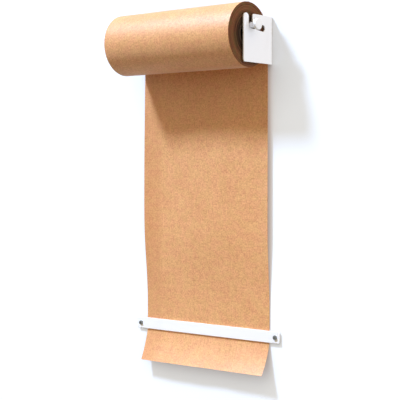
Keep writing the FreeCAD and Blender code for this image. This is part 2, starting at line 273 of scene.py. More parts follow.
@dataclass(frozen=True)
class KraftPaper(Finish):
    """Brown kraft paper, seen on its face: fine formation, fibres and faint machine streaks.

    A margin over zero darkens the left edge of the hanging paper with painted shade.
    """

    name: str = "kraft_paper_face"
    margin: float = 0.0
    pale: Colour = tone(244, 186, 122)
    deep: Colour = tone(194, 119, 57)
    rose: Colour = tone(227, 150, 95)
    olive: Colour = tone(214, 157, 78)
    fleck: Colour = tone(148, 88, 42)
    sheen: Colour = tone(255, 248, 240)

    def draw(self, graph: Graph) -> None:
        """Add the finish's nodes to its graph."""
        place = graph.place(Grain.UNROLLED)
        clouds = graph.noise(place, 26, 2, 0.5)
        drift = graph.noise(place, 52, 1)
        formation = graph.noise(place, 120, 2, 0.55)
        speckle = graph.noise(place, 330, 2, 0.6)
        streaks = graph.noise(graph.stretched(place, 620, 20), 1, 2)
        long_fibres = graph.noise(graph.stretched(place, 620, 3600), 1, 2)
        cross_fibres = graph.noise(graph.stretched(place, 3600, 760), 1, 2)
        mottle = speckle.swing(2.3) + formation.swing(0.9) + streaks.swing(0.4)
        body = graph.mixed(mottle + clouds.swing(0.5) + 0.5, self.deep, self.pale)
        hue = graph.mixed(drift.above(0.42, 0.16), self.rose, self.olive)
        body = graph.mixed(0.26, body, hue)
        flecks = long_fibres.above(0.66, 0.1) + cross_fibres.above(0.68, 0.1)
        body = graph.mixed(flecks * 0.3, body, self.fleck)
        # Painted shade: the paper's left edge is darkened towards the deep tone, standing in for
        # shade on that edge.
        if self.margin:
            across = graph.node("SeparateXYZ", {0: place}, output="X")
            painted_edge_shade = 1 - across.above(-0.122, 0.02)
            body = graph.mixed(painted_edge_shade * self.margin, body, self.deep)
        height = speckle + (long_fibres + cross_fibres) * 0.35
        graph.finish(
            Base_Color=body, Roughness=0.62 - speckle * 0.14, Specular_IOR_Level=1.0,
            Sheen_Weight=0.4, Sheen_Roughness=0.5, Sheen_Tint=self.sheen,
            Normal=graph.bump(height, 0.00012, 0.5),
        )


@dataclass(frozen=True)
class KraftLayers(Finish):
    """The wound edge of the roll: hundreds of cut layers, darker than the paper's face, darkened
    further towards the core with painted shade.
    """

    name: str = "kraft_paper_layers"
    pale: Colour = tone(160, 103, 66)
    plain: Colour = tone(128, 80, 50)
    deep: Colour = tone(76, 44, 30)
    olive: Colour = tone(112, 92, 52)
    # Painted shade: near-black for the layers near the core, standing for the deep shade behind the
    # bracket plates.
    inner: Colour = tone(34, 25, 18)
    axis_y: float = -0.065
    axis_z: float = 0.0062

    def draw(self, graph: Graph) -> None:
        """Add the finish's nodes to its graph."""
        place = graph.place(Grain.SOLID)
        centred = graph.node(
            "VectorMath", {0: place, 1: (0.0, self.axis_y, self.axis_z)}, operation="SUBTRACT"
        )
        across = graph.stretched(centred, 0, 1, 1)
        radius = graph.node("VectorMath", {0: across}, output=1, operation="LENGTH")
        wander = graph.noise(place, 18, 1) * 0.0012
        bands = graph.rings(radius + wander, 420, 3)
        layers = graph.rings(radius + wander, 3200, 2)
        dust = graph.noise(place, 700, 2)
        body = graph.mixed(bands.swing(3.4) + 0.5, self.deep, self.pale)
        body = graph.mixed(0.1 + dust.swing(1.4), body, self.plain)
        body = graph.mixed(layers.swing(2.8), body, self.deep)
        stains = graph.noise(place, 75, 2).above(0.48, 0.16)
        body = graph.mixed(stains * 0.5, body, self.olive)
        # Painted shade: the layers darken towards the core.
        body = graph.mixed(0.9 - radius.above(0.026, 0.022) * 0.9, body, self.inner)
        height = layers + bands * 1.5
        graph.finish(
            Base_Color=body, Roughness=0.86, Specular_IOR_Level=0.15,
            Normal=graph.bump(height, 0.0003, 0.7),
        )


@dataclass(frozen=True)
class CoreBoard(Finish):
    """Grey-brown board of the core, wound in a steep spiral; its own colour darkened with painted
    shade for the deep inside of the core.
    """

    name: str = "core_board_wound"
    # The board's own grey-brown, darkened with painted shade so the core's inside reads near-black.
    pale: Colour = tone(86, 66, 48)
    deep: Colour = tone(58, 43, 31)

    def draw(self, graph: Graph) -> None:
        """Add the finish's nodes to its graph."""
        place = graph.place(Grain.UNROLLED)
        fibres = graph.noise(graph.stretched(place, 1400, 500), 1, 3)
        turns = graph.node(
            "TexWave", {"Vector": place, "Scale": 8.0, "Distortion": 0.2, "Detail": 1.0},
            output=1, wave_type="BANDS", bands_direction="DIAGONAL",
        )
        seam = turns.above(0.97, 0.03)
        body = graph.mixed(fibres * 1.4 - 0.2, self.deep, self.pale)
        body = graph.mixed(seam * 0.6, body, self.deep)
        graph.finish(
            Base_Color=body, Roughness=0.82, Specular_IOR_Level=0.2,
            Normal=graph.bump(fibres - seam, 0.0002, 0.6),
        )


@dataclass(frozen=True)
class PowderCoat(Finish):
    """White powder coat on steel, with a fine even texture and faint handling marks."""

    name: str = "powder_coat_white"
    plain: Colour = tone(253, 253, 253)
    soiled: Colour = tone(242, 241, 239)
    speck: Colour = tone(190, 188, 184)
    roughness: float = 0.36

    def draw(self, graph: Graph) -> None:
        """Add the finish's nodes to its graph."""
        place = graph.place(Grain.SOLID)
        peel = graph.noise(place, 750, 2, 0.4)
        pores = graph.noise(place, 2600, 1)
        handling = graph.noise(place, 22, 4, 0.6)
        specks = graph.noise(place, 1500, 0).above(0.79, 0.04)
        body = graph.mixed(handling.above(0.52, 0.3) * 0.45, self.plain, self.soiled)
        body = graph.mixed(specks * 0.25, body, self.speck)
        graph.finish(
            Base_Color=body, Roughness=self.roughness + handling.swing(0.16),
            Specular_IOR_Level=0.5,
            Normal=graph.bump(peel + pores * 0.3, 0.00005, 0.6),
        )


@dataclass(frozen=True)
class ZincPlate(Finish):
    """Zinc-plated steel of the screws and studs, dulled and a little stained."""

    name: str = "zinc_plate_dull"
    pale: Colour = tone(150, 152, 146)
    deep: Colour = tone(92, 94, 90)

    def draw(self, graph: Graph) -> None:
        """Add the finish's nodes to its graph."""
        place = graph.place(Grain.SOLID)
        stain = graph.noise(place, 480, 3, 0.6)
        scuff = graph.noise(place, 2600, 2)
        body = graph.mixed(stain.swing(2.4) + 0.5, self.deep, self.pale)
        graph.finish(
            Base_Color=body, Metallic=0.92, Roughness=0.34 + stain.swing(0.4),
            Normal=graph.bump(scuff, 0.00003, 0.6),
        )


@dataclass(frozen=True)
class TurnedMetal(Finish):
    """Bright drawn rod with fine marks round it."""

    name: str = "rod_drawn_metal"
    pale: Colour = tone(240, 240, 243)
    deep: Colour = tone(206, 207, 211)

    def draw(self, graph: Graph) -> None:
        """Add the finish's nodes to its graph."""
        place = graph.place(Grain.SOLID)
        marks = graph.noise(graph.stretched(place, 5200, 40, 40), 1, 3)
        clouds = graph.noise(place, 60, 2)
        body = graph.mixed(marks * 1.2 - 0.1, self.deep, self.pale)
        graph.finish(
            Base_Color=body, Metallic=1.0, Roughness=0.3 + marks * 0.16 + clouds.swing(0.1),
            Normal=graph.bump(marks, 0.00002, 0.5),
        )


@dataclass(frozen=True)
class MouldedPlastic(Finish):
    """Glossy white plastic of the knobs."""

    name: str = "knob_moulded_plastic"
    plain: Colour = tone(254, 254, 254)
    warm: Colour = tone(249, 248, 246)

    def draw(self, graph: Graph) -> None:
        """Add the finish's nodes to its graph."""
        place = graph.place(Grain.SOLID)
        flow = graph.noise(place, 140, 3)
        scratches = graph.noise(graph.stretched(place, 300, 4200, 900), 1, 2)
        graph.finish(
            Base_Color=graph.mixed(flow.swing(1.6) + 0.4, self.plain, self.warm),
            Roughness=0.16 + flow * 0.1, Coat_Weight=0.35, Coat_Roughness=0.06,
            Normal=graph.bump(flow + scratches * 0.15, 0.00004, 0.35),
        )


@dataclass(frozen=True)
class Backdrop(Finish):
    """A pale surface, white in full light and grey in shadow, and clear from behind."""

    name: str = "backdrop_white"
    paint: Colour = tone(202, 203, 204)
    glow: Colour = tone(181, 188, 197)
    nearness: float = 0.11

    def draw(self, graph: Graph) -> None:
        """Add the finish's nodes to its graph."""
        behind = graph.node("NewGeometry", output="Backfacing")
        # The glow is dimmed near the holder by ambient occlusion: painted contact shade on the
        # backdrop.
        open_glow = graph.node("AmbientOcclusion", {"Color": self.glow, "Distance": self.nearness})
        matt = graph.node("BsdfDiffuse", {"Color": self.paint})
        light = graph.node("Emission", {"Color": open_glow, "Strength": 1.0})
        front = graph.node("AddShader", {0: matt, 1: light})
        clear = graph.node("BsdfTransparent")
        both = graph.node("MixShader", {0: behind, 1: front, 2: clear})
        graph.node("OutputMaterial", {"Surface": both})


# Shape building

@dataclass
class Shape:
    """Points in millimetres and the faces between them, each with a finish and flat places."""

    points: list[Point3] = field(default_factory=list)
    faces: list[tuple[int, ...]] = field(default_factory=list)
    finishes: list[int] = field(default_factory=list)
    flats: list[Sequence[Point2]] = field(default_factory=list)

    def add_face(
        self, corners: Sequence[int], flat: Sequence[Point2] = (), finish: int = 0
    ) -> None:
        """Add a face.

        Args:
            corners: Numbers of its points.
            flat: Its corners' places on the unrolled surface, in millimetres.
            finish: Which of the piece's materials it has.
        """
        self.faces.append(tuple(corners))
        self.flats.append(flat or [self.points[c][:2] for c in corners])
        self.finishes.append(finish)

    def turned(
        self, profile: Sequence[Point2], steps: int,
        ripple: Callable[[float, float], float] | None = None,
        finish_of: Callable[[int], int] | None = None, closed: bool = False,
    ) -> "Shape":
        """Turn a profile about the X axis.

        Args:
            profile: Places along the axis and radii; a radius of zero closes an end.
            steps: Facets in a full turn.
            ripple: What to add to a radius, from the place along the axis and the angle.
            finish_of: Material number of the band after a profile point.
            closed: Whether the last profile point joins the first, as on a tube.

        Returns:
            This shape.
        """
        rows: list[list[int]] = []
        for along, radius in profile:
            first, around = len(self.points), steps if radius else 1
            for step in range(around):
                angle = 2 * math.pi * step / steps
                reach = radius + (ripple(along, angle) if ripple and radius else 0)
                self.points.append((along, reach * math.cos(angle), reach * math.sin(angle)))
            rows.append([first + step % around for step in range(steps)])
        travel, places = 0.0, [0.0]
        loop = list(profile) + ([profile[0]] if closed else [])
        for (a, r), (b, s) in zip(loop, loop[1:]):
            travel += math.hypot(b - a, s - r)
            places.append(travel)
        widest = max(radius for _, radius in profile)
        for number in range(len(loop) - 1):
            low, high = rows[number], rows[(number + 1) % len(rows)]
            finish = finish_of(number) if finish_of else 0
            u, v = places[number], places[number + 1]
            for step in range(steps):
                after = (step + 1) % steps
                t, s = (widest * 2 * math.pi * k / steps for k in (step, step + 1))
                ring = (low[step], low[after], high[after], high[step])
                flat = dict(zip(ring, [(u, t), (u, s), (v, s), (v, t)]))
                self.add_face(list(flat), list(flat.values()), finish)
        return self

    def pressed(
        self, loops: Sequence[Sequence[Point2]], thickness: float, edge: float, steps: int = 3
    ) -> "Shape":
        """Make a plate with rounded edges from an outline and holes.

        Args:
            loops: The outline anticlockwise, then each hole clockwise.
            thickness: How thick the plate is.
            edge: Radius of its edges.
            steps: Facets across each edge.

        Returns:
            This shape.
        """
        bends = [0.5 * math.pi * step / steps for step in range(steps + 1)]
        levels = [(edge * (1 - math.sin(a)), edge * (1 - math.cos(a))) for a in bends]
        levels += [(shrink, thickness - height) for shrink, height in reversed(levels)]
        rings: list[list[list[int]]] = []
        for shrink, height in levels:
            level = []
            for loop in loops:
                first = len(self.points)
                self.points += [(x, y, height) for x, y in inset(loop, shrink)]
                level.append(list(range(first, len(self.points))))
            rings.append(level)
        for below, above in zip(rings, rings[1:]):
            for low, high in zip(below, above):
                for step in range(len(low)):
                    after = (step + 1) % len(low)
                    self.add_face((low[step], low[after], high[after], high[step]))
        for level in (rings[0], rings[-1]):
            numbers = [n for ring in level for n in ring]
            outlines = [[Vector(self.points[n]) for n in ring] for ring in level]
            for triangle in tessellate_polygon(outlines):
                self.add_face([numbers[k] for k in triangle])
        return self

    def stood(self, place: Point3, turn: float = 0.0) -> "Shape":
        """Turn the axis from X to Y, the shape round it by an angle, and move it to its place."""
        x, y, z = place
        c, s = math.cos(turn), math.sin(turn)
        self.points = [
            (x + across * c - up * s, y + along, z + across * s + up * c)
            for along, across, up in self.points
        ]
        return self

    def shifted(self, y: float, z: float) -> "Shape":
        """Move the shape off the X axis."""
        self.points = [(x, across + y, up + z) for x, across, up in self.points]
        return self

    def mirrored(self, side: Side) -> "Shape":
        """Turn a shape of the right side into that of its own side."""
        self.points = [(side.value * x, y, z) for x, y, z in self.points]
        return self


def inset(loop: Sequence[Point2], distance: float) -> list[Point2]:
    """Move a loop to its left by a distance.

    Args:
        loop: Points of a closed outline.
        distance: How far to move.

    Returns:
        The moved points.
    """
    moved = []
    for index, (x, y) in enumerate(loop):
        before, after = loop[index - 1], loop[(index + 1) % len(loop)]
        first, second = Vector((x - before[0], y - before[1])), Vector((after[0] - x, after[1] - y))
        first.normalize()
        second.normalize()
        reach = distance / max(1 + first.dot(second), LEAST_LEAN)
        shift = Vector((-first.y - second.y, first.x + second.x)) * reach
        moved.append((x + shift.x, y + shift.y))
    return moved


def rounded(corners: Sequence[tuple[float, float, float]], step: float = 9.0) -> list[Point2]:
    """Round the corners of an outline.

    Args:
        corners: Corner places and their radii.
        step: Degrees between points on an arc.

    Returns:
        The outline's points.
    """
    points: list[Vector] = []
    for index, (x, y, radius) in enumerate(corners):
        here = Vector((x, y))
        before = Vector(corners[index - 1][:2]) - here
        after = Vector(corners[(index + 1) % len(corners)][:2]) - here
        before.normalize()
        after.normalize()
        opening = before.angle(after)
        centre = here + (before + after).normalized() * (radius / math.sin(opening / 2))
        start = here + before * (radius / math.tan(opening / 2)) - centre
        turn = start.angle_signed(here + after * (radius / math.tan(opening / 2)) - centre)
        count = max(2, math.ceil(abs(math.degrees(turn)) / step))
        for number in range(count + 1):
            angle = -turn * number / count
            c, s = math.cos(angle), math.sin(angle)
            points.append(centre + Vector((start.x * c - start.y * s, start.x * s + start.y * c)))
    kept: list[Point2] = []
    for point in points:
        if not kept or (Vector(kept[-1]) - point).length > SAME_POINT:
            kept.append((point.x, point.y))
    if (Vector(kept[0]) - Vector(kept[-1])).length < SAME_POINT:
        kept.pop()
    return kept


def hole(x: float, y: float, radius: float, steps: int = 40) -> list[Point2]:
    """A round hole as a clockwise loop."""
    angles = [-2 * math.pi * step / steps for step in range(steps)]
    return [(x + radius * math.cos(a), y + radius * math.sin(a)) for a in angles]


def soft_edge(end: float, radius: float, cuts: Cuts) -> list[Point2]:
    """Profile points that stand back from an end, and in from its radius, by small cuts."""
    return [(end - back, radius - under) for back, under in cuts]


def other_end(profile: Sequence[Point2]) -> list[Point2]:
    """The same profile for the other end, in the order that goes on to it."""
    return [(-along, radius) for along, radius in reversed(profile)]


def limited(share: float) -> float:
    """A share kept from 0 to 1."""
    return min(max(share, 0.0), 1.0)


def smoothed(share: float) -> float:
    """A share that starts and ends gently."""
    return share * share * (3 - 2 * share)


class Workshop:
    """Turns shapes into pieces and seats them on the frame."""

    def __init__(self) -> None:
        """Make every finish once."""
        self.kraft = KraftPaper().build()
        # The hung sheet's paper carries painted shade along its left edge.
        self.hung_kraft = KraftPaper(name="kraft_paper_hung", margin=0.26).build()
        self.layers = KraftLayers().build()
        self.board = CoreBoard().build()
        self.coat = PowderCoat().build()
        self.zinc = ZincPlate().build()
        self.metal = TurnedMetal().build()
        self.plastic = MouldedPlastic().build()

    def piece(
        self, name: str, shape: Shape, materials: Sequence[bpy.types.Material],
        slices: Sequence[tuple[int, float]] = (), rule: Callable[[Point3], Point3] | None = None,
        sharp: float = 40.0, weighted: bool = False,
    ) -> bpy.types.Object:
        """Make an object from a shape.

        Args:
            name: The piece's name.
            shape: Its points and faces, in millimetres.
            materials: Its materials, by number.
            slices: Axis and place of cuts that a later bend needs.
            rule: How each point moves after the cuts.
            sharp: Edges over this angle stay sharp.
            weighted: Whether large faces set the shading of their neighbours.

        Returns:
            The object, in metres.
        """
        mesh = bpy.data.meshes.new(name)
        mesh.from_pydata(shape.points, [], shape.faces)
        for polygon, finish in zip(mesh.polygons, shape.finishes):
            polygon.material_index = finish
        layer = mesh.uv_layers.new(name="unrolled")
        corners = [place for flat in shape.flats for place in flat]
        layer.data.foreach_set("uv", [part * MM for place in corners for part in place])
        work = bmesh.new()
        work.from_mesh(mesh)
        for axis, place in slices:
            normal, origin = Vector((0, 0, 0)), Vector((0, 0, 0))
            normal[axis], origin[axis] = 1.0, place
            everything = [*work.verts, *work.edges, *work.faces]
            bmesh.ops.bisect_plane(
                work, geom=everything, dist=ON_PLANE, plane_co=origin, plane_no=normal
            )
        for vertex in work.verts:
            moved = rule(tuple(vertex.co)) if rule else vertex.co
            vertex.co = Vector(moved) * MM
        bmesh.ops.recalc_face_normals(work, faces=work.faces)
        work.to_mesh(mesh)
        work.free()
        for material in materials:
            mesh.materials.append(material)
        mesh.shade_smooth()
        mesh.set_sharp_from_angle(angle=math.radians(sharp))
        made = added(name, mesh)
        if weighted:
            shading = made.modifiers.new("even_shading", "WEIGHTED_NORMAL")
            shading.keep_sharp = True
        return made

    def fit(
        self, node: str, kind: str, shape: Shape, materials: Sequence[bpy.types.Material],
        body: Body, slot: Slot, **making: object,
    ) -> None:
        """Make the piece that stands for a node, and fix it to its body.

        Args:
            node: The node.
            kind: What the piece's name adds to the node's.
            shape: Its points and faces, in millimetres.
            materials: Its materials, by number.
            body: The body that it rides on.
            slot: The record's slot for its finish; not used.
            **making: What else piece() is told.
        """
        made = self.piece(f"{node}_{kind}", shape, materials, **making)
        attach(made, body.value)
        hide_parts(node)
        log.info("%s: %d faces, rides on %s", made.name, len(made.data.polygons), body.value)

    def dress(self, node: str, material: bpy.types.Material) -> None:
        """Give a carried-over node its material."""
        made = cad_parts[node]
        if not made.data.materials:
            made.data.materials.append(material)
        for place in made.material_slots:
            place.material = material
        log.info("%s: kept from the frame", node)


# The holder's parts

@dataclass
class Screw:
    """A wood screw: pan head with a cross recess, plain neck, coarse thread and a point."""

    node: str
    head: float
    head_height: float
    grip: float
    place: Point3
    turn: float
    neck: float = 4.4
    thread: float = 4.0
    root: float = 2.7
    pitch: float = 1.8
    ridge_slope: float = 2.2
    shallowest: float = 0.35
    in_wall: float = 28.0
    tip: float = 6.0
    tip_curve: float = 0.7
    tip_share: float = 0.12
    crown_share: float = 0.62
    crown_width: float = 1.15
    rim_edge: float = 0.12
    recess_arm: float = 0.08
    recess_reach: float = 0.26
    recess_rim: float = 0.25
    recess_depth: float = 0.4
    recess_taper: float = 0.55
    crown_steps: int = 6
    rows_per_pitch: int = 9
    steps: int = 32

    def thread_cut(self, along: float, angle: float) -> float:
        """Depth of the thread's groove at a place.

        Args:
            along: Place along the screw, from the wall on.
            angle: Angle round it.

        Returns:
            What to add to the radius.
        """
        if along <= self.grip:
            return 0.0
        phase = ((along - self.grip) / self.pitch - angle / (2 * math.pi)) % 1
        ridge = max(0.0, 1 - abs(2 * phase - 1) * self.ridge_slope)
        fade = min(1.0, (self.grip + self.in_wall - along) / self.tip)
        start = min(1.0, (along - self.grip) / self.pitch)
        depth = self.shallowest + (1 - self.shallowest) * fade
        return -(self.thread - self.root) / 2 * (1 - ridge * start) * depth

    def build(self, shop: Workshop) -> None:
        """Make the screw with its head on the piece that it holds."""
        crown, reach = self.head_height * self.crown_share, self.grip + self.in_wall
        bulge, half = crown * self.crown_width, self.head / 2
        flat = half - bulge
        profile = [(-self.head_height, flat)]
        for step in range(1, self.crown_steps + 1):
            angle = math.pi / 2 * step / self.crown_steps
            drop = crown * (1 - math.cos(angle))
            profile.append((drop - self.head_height, flat + bulge * math.sin(angle)))
        profile += [(-self.rim_edge, half), (0.0, half - self.rim_edge), (0.0, self.neck / 2)]
        profile += [(self.grip, self.neck / 2), (self.grip, self.thread / 2)]
        rows = round(self.in_wall / self.pitch * self.rows_per_pitch)
        for row in range(1, rows):
            along = self.grip + self.in_wall * row / rows
            taper = min(1.0, (reach - along) / self.tip) ** self.tip_curve
            profile.append((along, self.thread / 2 * max(taper, self.tip_share)))
        profile.append((reach, 0.0))
        shape = Shape().turned(profile, self.steps, self.thread_cut)
        self.cut_recess(shape, flat)
        shape.stood(self.place, self.turn)
        shop.fit(self.node, "threaded", shape, [shop.zinc], Body.WALL, Slot.ZINC, sharp=32.0)

    def cut_recess(self, shape: Shape, flat: float) -> None:
        """Close the top of the head with a cross-shaped recess.

        Args:
            shape: The turned screw, whose first ring is the rim of the top.
            flat: Radius of that rim.
        """
        arm = self.head * self.recess_arm
        tip = min(self.head * self.recess_reach, flat - self.recess_rim)
        quarter, cross = ((tip, arm), (arm, arm), (arm, tip)), []
        for turn in range(4):
            c, s = math.cos(turn * math.pi / 2), math.sin(turn * math.pi / 2)
            cross += [(a * c - b * s, a * s + b * c) for a, b in quarter]
        first, count, taper = len(shape.points), len(cross), self.recess_taper
        floor = -self.head_height * self.recess_depth
        shape.points += [(-self.head_height, a, b) for a, b in cross]
        shape.points += [(floor, a * taper, b * taper) for a, b in cross]
        rim, mouth = list(range(self.steps)), list(range(first, first + count))
        outlines = [
            [Vector((shape.points[n][1], shape.points[n][2], 0)) for n in ring]
            for ring in (rim, mouth)
        ]
        for triangle in tessellate_polygon(outlines):
            shape.add_face([(rim + mouth)[k] for k in triangle])
        for low, high in zip(mouth, mouth[1:] + mouth[:1]):
            shape.add_face((low, high, high + count, low + count))
        shape.add_face([n + count for n in mouth])


@dataclass
class Brackets:
    """Two folded steel brackets with rod slots, and the screws that hold them to the wall."""

    plate_outer: float = 155.4
    steel: float = 2.5
    depth: float = 85.5
    half_height: float = 43.0
    flange: float = 30.0
    bend_inner: float = 1.0
    corner: float = 4.0
    prong_radius: float = 7.05
    rod_y: float = -65.0
    rod_z: float = 22.9
    slot_half: float = 5.8
    slot_corner: float = 0.7
    slot_spare: float = 0.001
    channel_run: float = 36.2
    channel_drop: float = 3.2
    hole_radius: float = 2.35
    screw_x: float = 135.0
    screw_z: float = 26.0
    screw_head: float = 8.0
    screw_head_height: float = 2.2
    edge: float = 0.45
    fold_steps: int = 8

    @property
    def bend_start(self) -> float:
        """Where the fold starts on the flat blank."""
        return self.depth - self.bend_inner - self.steel

    @property
    def bend_length(self) -> float:
        """Length of the fold on the flat blank."""
        return math.pi / 2 * (self.bend_inner + self.steel / 2)

    @property
    def blank_length(self) -> float:
        """Length of the whole flat blank."""
        return self.bend_start + self.bend_length + self.flange - self.bend_inner - self.steel

    @property
    def flange_x(self) -> float:
        """How far from the middle the flange's flat part starts."""
        return self.plate_outer - self.bend_inner - self.steel

    def outline(self) -> list[Point2]:
        """The flat blank's outline with its slot, measured from the front edge and the middle."""
        lean = math.atan2(self.channel_drop, self.channel_run)
        run, drop = math.cos(lean), -math.sin(lean)
        seat = Vector((self.depth + self.rod_y, self.rod_z))
        rear = seat + Vector((self.channel_run, -self.channel_drop))
        side = Vector((-drop, run)) * self.slot_half
        end = Vector((run, drop)) * self.slot_half
        front_x, rear_x = seat.x - self.slot_half, seat.x + self.slot_half
        under, over = seat - side, seat + side
        under_z = under.y + (front_x - under.x) * drop / run
        over_z = over.y + (rear_x - over.x) * drop / run
        top, length = self.half_height, self.blank_length
        end_radius = self.slot_half - self.slot_spare
        return rounded([
            (0.0, -top, self.corner),
            (length, -top, self.corner),
            (length, top, self.corner),
            (rear_x, top, self.corner),
            (rear_x, over_z, self.slot_corner),
            (*(rear + side + end), end_radius),
            (*(rear - side + end), end_radius),
            (front_x, under_z, self.slot_half),
            (front_x, top, self.prong_radius),
            (0.0, top, self.prong_radius),
        ])

    def fold(self, side: Side) -> Callable[[Point3], Point3]:
        """The rule that folds the flat blank of one side.

        Args:
            side: Which end of the holder.

        Returns:
            The rule from blank to place.
        """
        centre_y = -self.bend_inner - self.steel

        def rule(point: Point3) -> Point3:
            """Bend one point of the blank."""
            along, up, deep = point
            past = along - self.bend_start
            if past <= 0:
                x, y = self.plate_outer - deep, -self.depth + along
            elif past < self.bend_length:
                angle = past / self.bend_length * math.pi / 2
                reach = self.bend_inner + self.steel - deep
                x, y = self.flange_x + reach * math.cos(angle), centre_y + reach * math.sin(angle)
            else:
                x, y = self.flange_x - (past - self.bend_length), -deep
            return side.value * x, y, up

        return rule

    def build(self, shop: Workshop) -> None:
        """Make both brackets and their four screws."""
        hole_at = self.bend_start + self.bend_length + self.flange_x - self.screw_x
        holes = [hole(hole_at, z, self.hole_radius) for z in (-self.screw_z, self.screw_z)]
        shares = [step / self.fold_steps for step in range(self.fold_steps + 1)]
        folds = [(0, self.bend_start + self.bend_length * share) for share in shares]
        for side in Side:
            shape = Shape().pressed([self.outline(), *holes], self.steel, self.edge)
            shop.fit(
                f"{side.word}_bracket", "folded", shape, [shop.coat], Body.WALL, Slot.POWDER_COAT,
                slices=folds, rule=self.fold(side), weighted=True,
            )
            for level, sign in (("upper", 1), ("lower", -1)):
                Screw(
                    f"{side.word}_{level}_bracket_screw", self.screw_head, self.screw_head_height,
                    self.steel, (side.value * self.screw_x, -self.steel, sign * self.screw_z),
                    turn=0.4 * sign + 0.9 * side.value,
                ).build(shop)


@dataclass
class RodSet:
    """The rod that lies in both slots, and a knob screwed on each end."""

    axis_y: float = -65.0
    axis_z: float = 22.9
    half_length: float = 167.0
    radius: float = 5.5
    rod_edge: Cuts = ((0.0, 0.75), (0.12, 0.48), (0.5, 0.04), (0.8, 0.0))
    bore: float = 2.6
    bore_edge: float = 0.3
    bore_floor: float = 156.0
    knob_radius: float = 10.2
    knob_length: float = 6.8
    knob_edge: float = 1.6
    knob_crown: float = 0.35
    knob_back: Cuts = ((0.0, 0.6), (-0.18, 0.18), (-0.6, 0.0))
    knob_lands: tuple[float, ...] = (0.3, 0.62, 0.9)
    edge_steps: int = 8
    crown_steps: int = 6
    stud_room: float = 5.2
    steps: int = 64

    def rod(self) -> Shape:
        """The rod with a chamfer and a threaded hole at each end."""
        end, lip = self.half_length, self.bore_edge
        half = soft_edge(end, self.radius, self.rod_edge)[::-1]
        half += [(end, self.bore + lip), (end - lip, self.bore)]
        half += [(self.bore_floor, self.bore), (self.bore_floor, 0.0)]
        profile = other_end(half) + half
        return Shape().turned(profile, self.steps).shifted(self.axis_y, self.axis_z)

    def knob(self, side: Side) -> Shape:
        """One knob: a crowned face, a soft edge and a hole for the stud.

        Args:
            side: Which end of the rod.

        Returns:
            The knob in place.
        """
        radius, edge, crown = self.knob_radius, self.knob_edge, self.knob_crown
        inner, straight = self.half_length, self.knob_length - edge
        outer, floor, top = inner + self.knob_length, inner + self.stud_room, radius - edge
        profile = [(floor, 0.0), (floor, self.bore), (inner, self.bore)]
        profile += soft_edge(inner, radius, self.knob_back)
        profile += [(inner + straight * share, radius) for share in self.knob_lands]
        for step in range(self.edge_steps + 1):
            angle = math.pi / 2 * step / self.edge_steps
            along = outer - edge - crown + edge * math.sin(angle)
            profile.append((along, top + edge * math.cos(angle)))
        for step in range(1, self.crown_steps + 1):
            share = 1 - step / self.crown_steps
            profile.append((outer - crown * share**2, top * share))
        shape = Shape().turned(profile, self.steps)
        return shape.mirrored(side).shifted(self.axis_y, self.axis_z)

    def build(self, shop: Workshop) -> None:
        """Make the rod and both knobs, and dress the hidden studs."""
        shop.fit("roller_rod", "drawn", self.rod(), [shop.metal], Body.ROD, Slot.ROD)
        for side in Side:
            shop.fit(
                f"{side.word}_rod_knob", "moulded", self.knob(side), [shop.plastic], Body.ROD,
                Slot.KNOB, sharp=50.0,
            )
            shop.dress(f"{side.word}_knob_stud", shop.zinc)


